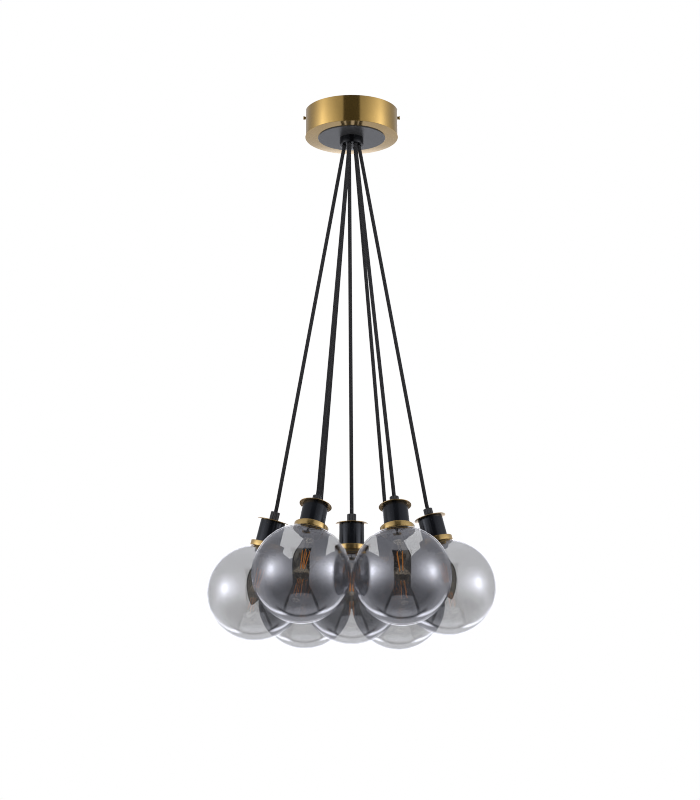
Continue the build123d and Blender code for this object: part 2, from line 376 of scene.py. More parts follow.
def cordRoute(name):
    place = places[name]
    gripFloor = place @ Vector((0, 0, cordSizes["gripFloor"] * mm))
    exitPoint = cordExit(name)
    bend = place @ Vector((0, 0, (cordSizes["gripTop"] + cordSizes["bendRun"]) * mm))
    straight = (exitPoint - bend).normalized()
    return [exitPoint, bend + straight * (gripFloor - bend).length, bend, gripFloor]


def routeLength(points):
    return sum((b - a).length for a, b in zip(points, points[1:]))


def braidMaterial():
    # two sets of yarns cross on the cord; the UV map runs along it and round it
    look = braidLook
    material, shader = newMaterial("blackTextileBraid")
    along, around, _ = shader.split(shader.coords("UV"))
    turns = look["length"] / look["yarnPitch"]
    yarns = look["yarnsRound"]
    right = ((along * turns * yarns + around * yarns) * 2 * math.pi).maths('SINE')
    left = ((along * turns * yarns - around * yarns) * 2 * math.pi).maths('SINE')
    weave = right.maths('MAXIMUM', left)
    fuzz = shader.noise(shader.coords(), look["fuzzScale"], 3.0)
    height = weave * look["weaveHeight"] + fuzz * look["fuzzHeight"]
    shade = shader.ramp(weave + fuzz * look["fuzzShade"], *look["shadeRange"])
    shader.principled(Base_Color=shader.mixColour(shade, look["dark"], look["pale"]),
                      Roughness=look["roughness"], Specular_IOR_Level=look["specular"],
                      Normal=shader.bump(height, look["depth"]))
    return material


braid = braidMaterial()
for name in pendantNames:
    points = cordRoute(name)
    curve = bpy.data.curves.new("cord_line_" + name, 'CURVE')
    curve.dimensions = '3D'
    spline = curve.splines.new('NURBS')
    spline.points.add(len(points) - 1)
    for controlPoint, point in zip(spline.points, points):
        controlPoint.co = (*point, 1)
    spline.order_u = 3
    spline.use_endpoint_u = True
    spline.resolution_u = cordSizes["bendSteps"]
    curve.bevel_depth = cordSizes["diameter"] / 2 * mm
    curve.bevel_resolution = cordSizes["roundSteps"]
    curve.use_fill_caps = True
    curve.materials.append(braid)
    cord = bpy.data.objects.new("flex_" + name, curve)
    bpy.context.scene.collection.objects.link(cord)
    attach(cord, pendantBody(name))
    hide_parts("cord_" + name)
    routeLength(points)
print("cords made")


# finishes

brassLook = {
    "cloudScale": 35.0,
    "cloudRange": (0.3, 0.7),
    "cloudTone": 0.9,
    "cloudRoughness": 0.06,
    "grainScale": 1400.0,
    "grainRoughness": 0.05,
    "coat": 1.0,
    "coatRoughness": 0.12,
}


def brassMaterial(name, colour, roughness, grainDepth, metallic=1.0):
    # lacquered brass: fine turning grain, faint cloudiness in the lacquer
    look = brassLook
    material, shader = newMaterial(name)
    place = shader.coords()
    cloud = shader.noise(place, look["cloudScale"], 3.0)
    grain = shader.noise(place, look["grainScale"])
    tone = shader.mixColour(shader.ramp(cloud, *look["cloudRange"]), colour,
                            scaled(colour, look["cloudTone"]))
    rough = roughness + (cloud - 0.5) * look["cloudRoughness"] + (grain - 0.5) * look["grainRoughness"]
    shader.principled(Base_Color=tone, Metallic=metallic, Roughness=rough, Coat_Weight=look["coat"],
                      Coat_Roughness=look["coatRoughness"], Normal=shader.bump(grain, grainDepth))
    return material


enamelLook = {
    "peelScale": 900.0,
    "peelRoughness": 0.06,
    "peelDepth": 0.008,
    "cloudScale": 60.0,
    "darkTone": 0.8,
    "paleTone": 1.2,
    "shineTint": (0.88, 0.92, 1.0, 1),
}


def enamelMaterial(name, colour, roughness, ior=1.5):
    # black enamel with a fine orange peel
    look = enamelLook
    material, shader = newMaterial(name)
    place = shader.coords()
    peel = shader.noise(place, look["peelScale"])
    cloud = shader.noise(place, look["cloudScale"])
    tone = shader.mixColour(cloud, scaled(colour, look["darkTone"]), scaled(colour, look["paleTone"]))
    shader.principled(Base_Color=tone, Roughness=roughness + (peel - 0.5) * look["peelRoughness"],
                      Specular_Tint=look["shineTint"], IOR=ior,
                      Normal=shader.bump(peel, look["peelDepth"]))
    return material


plasticLook = {
    "grainScale": 1800.0,
    "grainRoughness": 0.1,
    "grainDepth": 0.03,
    "darkTone": 0.85,
    "roughness": 0.45,
}


def plasticMaterial(name, colour):
    look = plasticLook
    material, shader = newMaterial(name)
    grain = shader.noise(shader.coords(), look["grainScale"], 3.0)
    tone = shader.mixColour(grain, scaled(colour, look["darkTone"]), colour)
    shader.principled(Base_Color=tone, Roughness=look["roughness"] + (grain - 0.5) * look["grainRoughness"],
                      Normal=shader.bump(grain, look["grainDepth"]))
    return material


steelLook = {
    "spangleScale": 220.0,
    "spangleRange": (0.0, 0.8),
    "dark": (0.50, 0.51, 0.52),
    "pale": (0.66, 0.67, 0.68),
    "roughness": 0.32,
    "grainScale": 1500.0,
    "grainRoughness": 0.12,
    "grainDepth": 0.02,
}


def steelMaterial():
    look = steelLook
    material, shader = newMaterial("zincPlatedSteel")
    place = shader.coords()
    spangle = shader.node("ShaderNodeTexVoronoi", Vector=place, Scale=look["spangleScale"])
    grain = shader.noise(place, look["grainScale"])
    tone = shader.mixColour(shader.ramp(spangle, *look["spangleRange"]), look["dark"], look["pale"])
    shader.principled(Base_Color=tone, Metallic=1.0,
                      Roughness=look["roughness"] + grain * look["grainRoughness"],
                      Normal=shader.bump(grain, look["grainDepth"]))
    return material


smokedLook = {
    "cloudScale": 9.0,
    "dark": (0.83, 0.835, 0.89),
    "pale": (0.87, 0.875, 0.92),
    "mirror": 0.255,         # share that one surface sends back when seen square on
    "rim": 0.73,             # added to it at a grazing angle
    "rimPower": 9.0,
    "roughness": 0.015,
}


def smokedGlassMaterial():
    # thin smoke grey half mirror: a clear share and a mirror share, more of the mirror towards the rim
    look = smokedLook
    material, shader = newMaterial("smokedMirrorGlass")
    cloud = shader.noise(shader.coords(), look["cloudScale"])
    facing = shader.node("ShaderNodeLayerWeight", None, 1, Blend=0.5)
    share = look["mirror"] + facing.maths('POWER', look["rimPower"]) * look["rim"]
    shader.principled(Base_Color=shader.mixColour(cloud, look["dark"], look["pale"]), Metallic=1.0,
                      Roughness=look["roughness"], Alpha=share)
    return material


clearLook = {
    "cloudScale": 40.0,
    "dark": (0.86, 0.82, 0.74),
    "pale": (0.92, 0.89, 0.84),
    "roughness": 0.01,
    "ior": 1.12,             # low, as the thin glass hardly bends what is behind it
}


def clearGlassMaterial():
    look = clearLook
    material, shader = newMaterial("clearBulbGlass")
    cloud = shader.noise(shader.coords(), look["cloudScale"])
    shader.principled(Base_Color=shader.mixColour(cloud, look["dark"], look["pale"]),
                      Roughness=look["roughness"], Transmission_Weight=1.0, IOR=look["ior"])
    return material


filamentLook = {
    "grainScale": 600.0,
    "dark": (0.72, 0.24, 0.04),
    "pale": (0.85, 0.34, 0.07),
    "roughness": 0.55,
    "glow": 0.4,
}


def filamentMaterial():
    # amber coated filament sticks, just glowing
    look = filamentLook
    material, shader = newMaterial("amberFilament")
    grain = shader.noise(shader.coords(), look["grainScale"], 3.0)
    tone = shader.mixColour(grain, look["dark"], look["pale"])
    shader.principled(Base_Color=tone, Roughness=look["roughness"], Emission_Color=tone,
                      Emission_Strength=look["glow"])
    return material


# name, colour, roughness, then the grain's depth in mm or the index of refraction
brass = brassMaterial("polishedBrass", (0.60, 0.375, 0.088), 0.13, 0.006, 0.95)
turnedBrassAndPaintedRingLight = brassMaterial("satinBrass", (0.68, 0.45, 0.17), 0.24, 0.012)
# the rings' brass has a lighter base colour than the canopy's: brass colour with painted light, standing in
# for the brighter light that falls on the rings
ringBrassPaintedLight = brassMaterial("turnedBrassAndPaintedRingLight", (0.95, 0.64, 0.23), 0.26, 0.012)
cupEnamel = enamelMaterial("satinBlackEnamel", (0.004, 0.0045, 0.006), 0.22)
bossEnamel = enamelMaterial("deepBlackEnamel", (0.0015, 0.0015, 0.002), 0.20)
plateEnamel = enamelMaterial("greyBlackEnamel", (0.034, 0.034, 0.036), 0.30, 1.75)
blackPlastic = plasticMaterial("blackPlastic", (0.022, 0.022, 0.024))
whitePlastic = plasticMaterial("whitePlastic", (0.78, 0.77, 0.74))
steel = steelMaterial()
smokedGlass = smokedGlassMaterial()
clearGlass = clearGlassMaterial()
filamentAmber = filamentMaterial()
print("finishes made")


# canopy

canopySizes = {
    "radius": 76.0,
    "height": 44.0,
    "sheet": 1.2,
    "edge": 0.4,
    "edgeSteps": 5,
    "spigotHole": 17.5,
    "screwHole": 2.2,
    "screwHeight": -9.6,
    "drillReach": 2.2,       # in radii
    "drillSides": 24,
    "steps": 160,
}


def makeCanopyDrum():
    s = canopySizes
    r, h, t, e, hole = s["radius"], s["height"], s["sheet"], s["edge"], s["spigotHole"]
    outline = [(r - t, 0), (r, 0)]
    outline += arcPoints(e, 0, -90, s["edgeSteps"], (r - e, -h + e))
    outline += [(hole, -h), (hole, -h + t), (r - t, -h + t)]
    drum = latheOutline("canopy_drum", closedOutline(outline), s["steps"])
    deselectAll()
    bpy.ops.mesh.primitive_cylinder_add(vertices=s["drillSides"], radius=s["screwHole"] * mm,
                                        depth=s["drillReach"] * r * mm,
                                        location=(0, 0, s["screwHeight"] * mm),
                                        rotation=(0, math.pi / 2, 0))
    cutOut(drum, startPiece("drill"))
    return finishPiece(drum, turnedSmooth)


plateSizes = {
    "radius": 55.0,
    "top": -44.0,
    "low": -45.5,
    "hole": 17.5,
    "edge": 0.4,
    "steps": 128,
}


def makePlate():
    s = plateSizes
    e = s["edge"]
    outline = [(s["hole"], s["top"]), (s["radius"], s["top"]), (s["radius"], s["low"] + e),
               (s["radius"] - e, s["low"]), (s["hole"], s["low"])]
    return finishPiece(latheOutline("cover_disc", closedOutline(outline), s["steps"]), turnedSmooth)


bossSizes = {
    "radius": 19.5,
    "low": -58.0,
    "edge": 0.8,
    "edgeSteps": 4,
    "spigot": 17.4,
    "spigotTop": -36.8,
    "hole": 3.3,
    "flare": 4.5,
    "flareDepth": 1.2,
    "drillOver": 1.0,        # how far the drill reaches past the boss
    "drillSteps": 32,
    "steps": 96,
}


def makeBoss():
    s = bossSizes
    e, over = s["edge"], s["drillOver"]
    outline = [(0, s["low"]), (s["radius"] - e, s["low"])]
    outline += arcPoints(e, -90, 0, s["edgeSteps"], (s["radius"] - e, s["low"] + e))
    outline += [(s["radius"], plateSizes["low"]), (s["spigot"], plateSizes["low"]),
                (s["spigot"], s["spigotTop"]), (0, s["spigotTop"])]
    boss = latheOutline("boss_body", outline, s["steps"])
    drillOutline = [(0, s["low"] - over), (s["flare"] + over, s["low"] - over),
                    (s["hole"], s["low"] + s["flareDepth"]), (s["hole"], s["spigotTop"] + over),
                    (0, s["spigotTop"] + over)]
    drill = latheOutline("drill", drillOutline, s["drillSteps"])
    for name in pendantNames:
        spot = cordExit(name)
        cutOut(boss, copyTo(drill, "cutter", Matrix.Translation((spot.x, spot.y, 0))))
    removePiece(drill)
    return finishPiece(boss, turnedSmooth)


settlePiece(makeCanopyDrum(), brass, "canopy", "canopy_shell")
settlePiece(makePlate(), plateEnamel, "canopy", "cover_plate")
settlePiece(makeBoss(), bossEnamel, "canopy", "cord_boss")

screwSizes = {
    "head": 3.0,
    "headHeight": 2.4,
    "headEdge": 0.5,
    "neck": 0.9,
    "shank": 2.0,
    "pointEdge": 0.4,
    "inner": 67.46,
    "knurl": 0.93,           # the low part of a knurl, in head radii
    "knurlBand": 0.1,        # points this near the head's side are knurled, mm
    "steps": 64,
}


def knurlScale(radius, height, step):
    # every other pair of steps sinks
    s = screwSizes
    return s["knurl"] if radius > s["head"] - s["knurlBand"] and step % 4 < 2 else 1.0


def makeScrew():
    # knurled head outside the wall, shank in the strap's ear; drawn upright, laid along +X
    s = screwSizes
    headLow = canopySizes["radius"] + s["neck"]
    headTop = headLow + s["headHeight"]
    outline = [(0, s["inner"]), (s["shank"] - s["pointEdge"], s["inner"]),
               (s["shank"], s["inner"] + s["pointEdge"]), (s["shank"], headLow), (s["head"], headLow),
               (s["head"], headTop - s["headEdge"]), (s["head"] - s["headEdge"], headTop), (0, headTop)]
    screw = latheOutline("screw", outline, s["steps"])
    sinkSides(screw, s["steps"], knurlScale)
    return finishPiece(screw, turnedSmooth)


screw = makeScrew()
screwLift = Matrix.Translation((0, 0, canopySizes["screwHeight"] * mm))
for side, angle in (("right", 90), ("left", -90)):
    twin = copyTo(screw, "thumb_screw_" + side, screwLift @ Matrix.Rotation(math.radians(angle), 4, 'Y'))
    settlePiece(twin, brass, f"side_screw_{side}_body", "side_screw_" + side)
removePiece(screw)

insideFinishes = {
    "ceiling_bracket": steel,
    "boss_nut": steel,
    "terminal_block": whitePlastic,
    "cord_retainer": blackPlastic,
    "cord_tails": blackPlastic,
    "earth_terminal": turnedBrassAndPaintedRingLight,
}
for node, material in insideFinishes.items():
    dressPiece(frame["nodes"][node], material)
print("canopy made")


# pendant heads, each drawn with its globe's centre at the origin

globeSizes = {
    "wall": 2.0,
    "neckOuter": 21.2,
    "neckInner": 18.8,
    "neckTop": 77.2,
    "neckGap": 1.0,          # the ball stops this far before the neck, degrees
    "outerFillet": ((0.3, 0.35), (0.0, 1.0)),
    "innerFillet": ((0.0, 0.8), (0.3, 0.1)),
    "lipSteps": 6,
    "ringSteps": 64,
    "steps": 144,
}


def makeGlobe():
    s = globeSizes
    outer = globeRadius
    inner = outer - s["wall"]
    outerEnd = math.degrees(math.acos(s["neckOuter"] / outer))
    innerEnd = math.degrees(math.acos(s["neckInner"] / inner))
    outerTop = outer * math.sin(math.radians(outerEnd))
    innerTop = inner * math.sin(math.radians(innerEnd))
    lip = (s["neckOuter"] - s["neckInner"]) / 2
    outline = arcPoints(outer, -90, outerEnd - s["neckGap"], s["ringSteps"])
    outline += [(s["neckOuter"] + out, outerTop + up) for out, up in s["outerFillet"]]
    outline += arcPoints(lip, 0, 180, s["lipSteps"],
                         ((s["neckOuter"] + s["neckInner"]) / 2, s["neckTop"] - lip))
    outline += [(s["neckInner"] + out, innerTop + up) for out, up in s["innerFillet"]]
    outline += arcPoints(inner, innerEnd - s["neckGap"], -90, s["ringSteps"])
    return finishPiece(latheOutline("globe", outline, s["steps"]), blownSmooth)


ringSizes = {
    "outer": 26.5,
    "top": 79.3,
    "web": 77.5,
    "bore": 21.6,
    "hole": 17.1,
    "seat": 75.3,
    "edge": 0.7,
    "edgeSteps": 4,
    "steps": 112,
}


def makeShadeRing():
    s = ringSizes
    e = s["edge"]
    low = math.degrees(math.acos(s["bore"] / s["seat"]))
    high = math.degrees(math.acos((s["outer"] - e) / s["seat"]))
    lowEdge = s["seat"] * math.sin(math.radians(high))
    outline = arcPoints(s["seat"], low, high, s["edgeSteps"])
    outline += [(s["outer"], lowEdge + e)]
    outline += arcPoints(e, 0, 90, s["edgeSteps"], (s["outer"] - e, s["top"] - e))
    outline += [(s["hole"], s["top"]), (s["hole"], s["web"]), (s["bore"], s["web"])]
    return finishPiece(latheOutline("ring", closedOutline(outline), s["steps"]), turnedSmooth)


cupSizes = {
    "radius": 19.5,
    "wall": 1.5,
    "low": 79.3,
    "lowEdge": 0.25,
    "top": 114.1,
    "roof": 2.0,
    "hole": 5.05,
    "edge": 0.6,
    "edgeSteps": 4,
    "steps": 96,
}


def makeCup():
    s = cupSizes
    e = s["edge"]
    inner = s["radius"] - s["wall"]
    under = s["top"] - s["roof"]
    outline = [(inner, s["low"]), (s["radius"] - s["lowEdge"], s["low"]),
               (s["radius"], s["low"] + s["lowEdge"])]
    outline += arcPoints(e, 0, 90, s["edgeSteps"], (s["radius"] - e, s["top"] - e))
    outline += [(s["hole"], s["top"]), (s["hole"], under), (inner, under)]
    return finishPiece(latheOutline("cup", closedOutline(outline), s["steps"]), turnedSmooth)


holderSizes = {
    "low": 63.0,
    "lowEdge": 0.8,
    "radius": 16.8,
    "flange": 17.9,
    "flangeTop": 83.0,
    "body": 15.0,
    "bodyTop": 98.0,
    "neck": 8.0,
    "thread": 5.05,
    "threadLow": 100.0,
    "socket": 7.2,
    "socketTop": 81.0,
    "ribs": 5,
    "ribStart": 1.0,         # above the holder's low end
    "ribRoom": 2.0,          # the height that the ribs leave free
    "ribDepth": 0.5,
    "ribShares": (0.45, 0.6, 0.85),
    "bandLow": 0.6,          # plain band below the ring's web
    "steps": 80,
}


def makeHolder():
    # the skirt below the ring has the shallow thread that such a holder has
    s = holderSizes
    cupRoof = cupSizes["top"] - cupSizes["roof"]
    sunk = s["radius"] - s["ribDepth"]
    crest, foot, end = s["ribShares"]
    outline = [(s["socket"], s["low"]), (s["radius"] - s["lowEdge"], s["low"])]
    pitch = (ringSizes["web"] - s["low"] - s["ribRoom"]) / s["ribs"]
    for rib in range(s["ribs"]):
        start = s["low"] + s["ribStart"] + rib * pitch
        outline += [(s["radius"], start), (s["radius"], start + pitch * crest),
                    (sunk, start + pitch * foot), (sunk, start + pitch * end)]
    outline += [(s["radius"], ringSizes["web"] - s["bandLow"]), (s["radius"], ringSizes["top"]),
                (s["flange"], ringSizes["top"]), (s["flange"], s["flangeTop"]), (s["body"], s["flangeTop"]),
                (s["body"], s["bodyTop"]), (s["neck"], s["bodyTop"]), (s["neck"], cupRoof),
                (s["thread"], cupRoof), (s["thread"], s["threadLow"]), (0, s["threadLow"]),
                (0, s["socketTop"]), (s["socket"], s["socketTop"])]
    return finishPiece(latheOutline("holder", closedOutline(outline), s["steps"]), turnedSmooth)


discSizes = {
    "radius": 25.0,
    "low": 114.1,
    "top": 115.3,
    "hole": 5.05,
    "edgeSteps": 6,
    "steps": 112,
}


def makeDisc():
    s = discSizes
    edge = (s["top"] - s["low"]) / 2
    outline = [(s["hole"], s["low"])]
    outline += arcPoints(edge, -90, 90, s["edgeSteps"], (s["radius"] - edge, (s["low"] + s["top"]) / 2))
    outline += [(s["hole"], s["top"])]
    return finishPiece(latheOutline("disc", closedOutline(outline), s["steps"]), smallSmooth)


gripSizes = {
    "radius": 7.2,
    "low": 115.3,
    "lowEdge": 0.3,
    "top": 130.0,
    "edge": 0.9,
    "edgeSteps": 4,
    "stem": 4.9,
    "stemLow": 100.3,
    "bore": 3.2,
    "boreLow": 124.0,
    "boreEdge": 0.5,
    "band": 2.0,             # plain band below the flutes
    "topBand": 2.2,
    "flutes": 12,
    "fluteSteps": 8,
    "fluteDepth": 0.09,      # in radii
    "sideShare": 0.6,        # of that depth, at a flute's sides
    "sideBand": 0.05,        # points this near the side are fluted, mm
    "fluteLow": 1.0,         # above the grip's low end
}


def fluteScale(radius, height, step):
    # flutes between the two plain bands: two low steps, with a half sunk one on each side
    s = gripSizes
    turn = step % s["fluteSteps"]
    onSide = radius > s["radius"] - s["sideBand"] and height > s["low"] + s["fluteLow"]
    if onSide and turn in (0, 1, 2, 3):
        return 1 - s["fluteDepth"] * (1.0 if turn in (1, 2) else s["sideShare"])
    return 1.0


def makeGrip():
    s = gripSizes
    e = s["edge"]
    outline = [(0, s["stemLow"]), (s["stem"], s["stemLow"]), (s["stem"], s["low"]),
               (s["radius"] - s["lowEdge"], s["low"]), (s["radius"], s["low"] + s["lowEdge"]),
               (s["radius"], s["low"] + s["band"]), (s["radius"], s["top"] - s["topBand"])]
    outline += arcPoints(e, 0, 90, s["edgeSteps"], (s["radius"] - e, s["top"] - e))
    outline += [(s["bore"] + s["boreEdge"], s["top"]), (s["bore"], s["top"] - s["boreEdge"]),
                (s["bore"], s["boreLow"]), (0, s["boreLow"])]
    steps = s["flutes"] * s["fluteSteps"]
    grip = latheOutline("grip", outline, steps)
    sinkSides(grip, steps, fluteScale)
    return finishPiece(grip, turnedSmooth)


# bulbs

bulbSizes = {
    "belly": 17.5,
    "bellyHeight": 24.0,
    "bellyPower": 0.78,      # under 1, fuller than a plain sine
    "tipSteps": 28,
    "foot": 8.5,
    "footHeight": 55.7,
    "footSteps": 18,
    "waveShare": 0.6,        # of the shoulder's fall, a wave; the rest a square
    "squareShare": 0.4,
    "tip": -20.0,
    "wall": 0.9,
    "steps": 72,
    "smallSteps": 40,
}


def bulbSide(inset):
    # half outline of the candle glass from the tip to the foot, with easy curves
    s = bulbSizes
    points = []
    for index in range(1, s["tipSteps"] + 1):
        share = index / s["tipSteps"]
        height = s["tip"] + inset + (s["bellyHeight"] - s["tip"] - inset) * share
        bulge = math.sin(share * math.pi / 2) ** s["bellyPower"]
        points.append(((s["belly"] - inset) * bulge, height))
    for index in range(1, s["footSteps"] + 1):
        share = index / s["footSteps"]
        height = s["bellyHeight"] + (s["footHeight"] - s["bellyHeight"]) * share
        drop = (1 - math.cos(share * math.pi)) / 2 * s["waveShare"] + share ** 2 * s["squareShare"]
        points.append((s["belly"] - inset - (s["belly"] - s["foot"]) * drop, height))
    return points


def makeBulbGlass():
    s = bulbSizes
    outline = [(0, s["tip"])] + bulbSide(0) + bulbSide(s["wall"])[::-1] + [(0, s["tip"] + s["wall"])]
    return finishPiece(latheOutline("bulb_glass", outline, s["steps"]), blownSmooth)


capSizes = {
    "radius": 6.95,
    "top": 80.7,
    "rim": 0.6,
    "shoulder": 2.2,
    "threadLow": 3.2,
    "threadPitch": 2.82,
    "threadDepth": 0.5,
    "turns": 6,
    "turnSteps": 8,
    "closeIn": 1.2,          # how far the shell draws in above the thread
    # bead and contact, as (radius, depth under the top)
    "contact": ((3.6, 1.2), (3.4, 0.8), (2.0, 0)),
    "closeLow": 3.2,
    "steps": 48,
}


def makeBulbCap():
    # screw cap with its rolled thread, glass bead and contact
    s = capSizes
    foot, low = bulbSizes["foot"], bulbSizes["footHeight"]
    outline = [(0, low), (foot, low), (foot, low + s["rim"]), (s["radius"], low + s["shoulder"])]
    start = low + s["threadLow"]
    for index in range(s["turns"] * s["turnSteps"] + 1):
        wave = (1 - math.cos(2 * math.pi * index / s["turnSteps"])) / 2
        outline.append((s["radius"] - s["threadDepth"] * wave,
                        start + index * s["threadPitch"] / s["turnSteps"]))
    outline += [(s["radius"] - s["closeIn"], s["top"] - s["closeLow"])]
    outline += [(radius, s["top"] - depth) for radius, depth in s["contact"]]
    outline += [(0, s["top"])]
    return finishPiece(latheOutline("bulb_cap", outline, s["steps"]), smallSmooth)


stickSizes = {
    "count": 4,
    "low": 8.0,
    "top": 38.0,
    "lowCircle": 3.2,
    "topCircle": 5.8,
    "turn": 28.0,            # degrees off the pendant's own plane
    "radius": 0.6,
    "sides": 20,
    "edge": 0.3,
    "wire": 0.25,
    "wireSides": 8,
    "wireInset": 0.3,        # a wire starts this far inside a stick's end
    "hub": 4.6,              # above the sticks, where their upper wires meet
    "joinLow": 1.6,          # below the sticks, where their lower wires meet
    "spineLow": 1.8,
}


def stickEnds(inset=0.0):
    # low and high end of each stick
    s = stickSizes
    ends = []
    for index in range(s["count"]):
        angle = math.radians(360 / s["count"] * index + s["turn"])
        side = Vector((math.cos(angle), math.sin(angle), 0))
        ends.append((side * s["lowCircle"] + Vector((0, 0, s["low"] + inset)),
                     side * s["topCircle"] + Vector((0, 0, s["top"] - inset))))
    return ends


def joinRods(name, rods, sides, bevel=0.0):
    # thin rods, each given by two points in mm and a radius, made into one piece
    deselectAll()
    made = []
    for start, end, radius in rods:
        line = (Vector(end) - Vector(start)) * mm
        bpy.ops.mesh.primitive_cylinder_add(vertices=sides, radius=radius * mm, depth=line.length,
                                            location=(Vector(end) + Vector(start)) / 2 * mm,
                                            rotation=line.to_track_quat('Z', 'Y').to_euler())
        made.append(bpy.context.active_object)
    for rod in made:
        rod.select_set(True)
    bpy.ops.object.join()
    return finishPiece(startPiece(name), smallSmooth, bevel)


def makeFilaments():
    # coated sticks that spread towards the cap
    s = stickSizes
    rods = [(low, high, s["radius"]) for low, high in stickEnds()]
    return joinRods("filaments", rods, s["sides"], s["edge"])


stemSizes = {
    "tipRadius": 1.4,
    "tip": 4.0,              # above the sticks
    "tipEdge": 4.4,
    "shoulder": 6.5,
    "radius": 2.2,
    # the flare, as (radius, depth under the glass's foot)
    "flare": ((2.2, 6.0), (3.4, 2.5), (6.8, 0)),
}


def makeBulbStem():
    # glass stem with its flare
    s = stemSizes
    top, foot = stickSizes["top"], bulbSizes["footHeight"]
    outline = [(0, top + s["tip"]), (s["tipRadius"], top + s["tipEdge"]),
               (s["radius"], top + s["shoulder"])]
    outline += [(radius, foot - depth) for radius, depth in s["flare"]]
    outline += [(0, foot)]
    return finishPiece(latheOutline("bulb_stem", outline, bulbSizes["smallSteps"]), smallSmooth)


def makeBulbWires():
    # support wires from the sticks to the hub and to the low joint, and the wire between these two
    s = stickSizes
    hub = (0, 0, s["top"] + s["hub"])
    joint = (0, 0, s["low"] - s["joinLow"])
    rods = []
    for low, high in stickEnds(s["wireInset"]):
        rods += [(high, hub, s["wire"]), (low, joint, s["wire"])]
    rods.append(((0, 0, s["low"] - s["spineLow"]), hub, s["wire"]))
    return joinRods("wires", rods, s["wireSides"])


headPieces = [
    # maker, name, finish, body of the piece, node that it replaces, slot
    (makeCup, "cup_cover", cupEnamel, "head", "lampholder", "black_metal"),
    (makeHolder, "holder_insert", blackPlastic, "head", "lampholder", "black_metal"),
    (makeShadeRing, "gallery_ring", ringBrassPaintedLight, "head", "shade_ring", "brass"),
    (makeDisc, "brass_washer", turnedBrassAndPaintedRingLight, "head", "top_disc", "brass"),
    (makeGrip, "strain_relief", blackPlastic, "head", "cord_grip", "black_plastic"),
    (makeGlobe, "glass_globe", smokedGlass, "globe", "globe", "smoked_glass"),
    (makeBulbGlass, "candle_glass", clearGlass, "bulb", "bulb", "clear_glass"),
    (makeBulbCap, "screw_cap", steel, "bulb", "bulb", "clear_glass"),
    (makeBulbStem, "glass_stem", clearGlass, "bulb", "bulb", "clear_glass"),
    (makeFilaments, "filament_sticks", filamentAmber, "bulb", "bulb", "clear_glass"),
    (makeBulbWires, "support_wires", steel, "bulb", "bulb", "clear_glass"),
]

for maker, label, finish, where, node, slotName in headPieces:
    pattern = maker()
    for name in pendantNames:
        body = pendantBody(name) if where == "head" else f"{where}_{name}_body"
        piece = copyTo(pattern, f"{label}_{name}", places[name])
        settlePiece(piece, finish, body, f"{node}_{name}")
    removePiece(pattern)
print("pendants made")


# studio

studio = {
    "floorHeight": -2.3,
    "floorSize": 14.0,
    "keyPower": 60.0,
    "keySize": 1.6,
    "keyDistance": 2.4,
    "keyAzimuth": 70.0,      # degrees from the way to the camera
    "keyHeight": -0.35,
    "keyAim": (0, 0, -0.5),
    "floorTone": (0.8, 0.8, 0.8, 1),
    "white": (1, 1, 1, 1),
}


def makeFloor():
    deselectAll()
    bpy.ops.mesh.primitive_plane_add(size=studio["floorSize"], location=(0, 0, studio["floorHeight"]))
    floor = startPiece("floor")
    material, shader = newMaterial("paleFloor")
    path = shader.lightPath()
    seen = path["Is Camera Ray"].maths('MAXIMUM', path["Is Glossy Ray"])
    seen = seen.maths('MAXIMUM', path["Is Transmission Ray"])
    diffuse = shader.node("ShaderNodeBsdfDiffuse", Color=studio["floorTone"])
    glow = shader.node("ShaderNodeEmission", Color=studio["white"], Strength=1.0)
    # a camera under the floor looks up through it
    under = Sock(shader.tree, shader.tree.nodes.new("ShaderNodeNewGeometry").outputs["Backfacing"])
    clear = shader.node("ShaderNodeBsdfTransparent", Color=studio["white"])
    shader.output(shader.mixShader(under, shader.mixShader(seen, diffuse, glow), clear))
    dressPiece(floor, material)
    floor.visible_glossy = False


room = {
    # the dark gap between the two soft boxes, where the camera stands, in degrees
    "gapTurn": 20.0,         # its half width
    "gapSide": 1.0,          # half width of its soft sides
    "gapFlare": 14.0,        # added to it at the gap's ends
    "gapTop": 51.0,
    "gapLow": -55.0,
    "gapEnd": 1.5,
    "gapLevel": 0.03,
    # the soft boxes, in degrees
    "boxTurn": 75.0,         # middle of one, from the way to the camera
    "boxBlend": 5.0,
    "boxFront": 34.0,        # how it fades towards the camera, and away from it
    "boxBack": 26.0,
    "boxHeight": 6.0,
    "boxRise": 20.0,
    "boxLevel": 1.2,
    "coreLevel": 1.1,
    "coreSpread": 10.0,
    # walls
    "wallLevel": 0.34,
    "behind": (120, 150),
    "behindLevel": 0.10,
    "dimHeight": (0, -45),
    "dimDepth": (-0.1, 0.5),
    "dimLevel": 0.22,
    "leastLevel": 0.03,
    # the floor, in lamp heights to the side and to the back
    "low": (-0.04, -0.10),
    "leastDepth": 0.02,
    "matSide": (0.46, 0.50),
    "matBack": (0.60, 0.64),
    "matLevel": 0.10,
    "edgeBand": (0.50, 0.07),
    "edgeBack": (0.60, 0.72),
    "edgeLevel": 0.16,
    "endBand": (0.70, 0.16),
    "endSide": (0.60, 1.0),
    "endLevel": 0.40,
    "lineLean": 0.60,
    "lineWidth": 0.10,
    "lineGrowth": 0.07,
    "lineFrom": (0.75, 0.95),
    "lineLevel": 1.8,
    "paleFrom": (0.78, 1.1),
    "paleLevel": 0.12,
    # the bright sweep straight behind the lamp
    "backRise": 9.0,         # above level, degrees
    "rim": (0.90, 0.965),
    "rimLevel": 1.5,
    # what each sort of ray gets
    "shineTint": (0.96, 0.97, 1.03),
    "white": (1.0, 1.0, 1.0),
    "fillLevel": 0.55,
    "shineLayers": 3.5,      # glass walls in the way of a reflection, before it is dimmed
    "shineLost": 0.88,
    "clearLayers": 5.5,      # and in the way of the backdrop
    "clearLost": 0.72,
}


def squares(first, second):
    return first * first + second * second


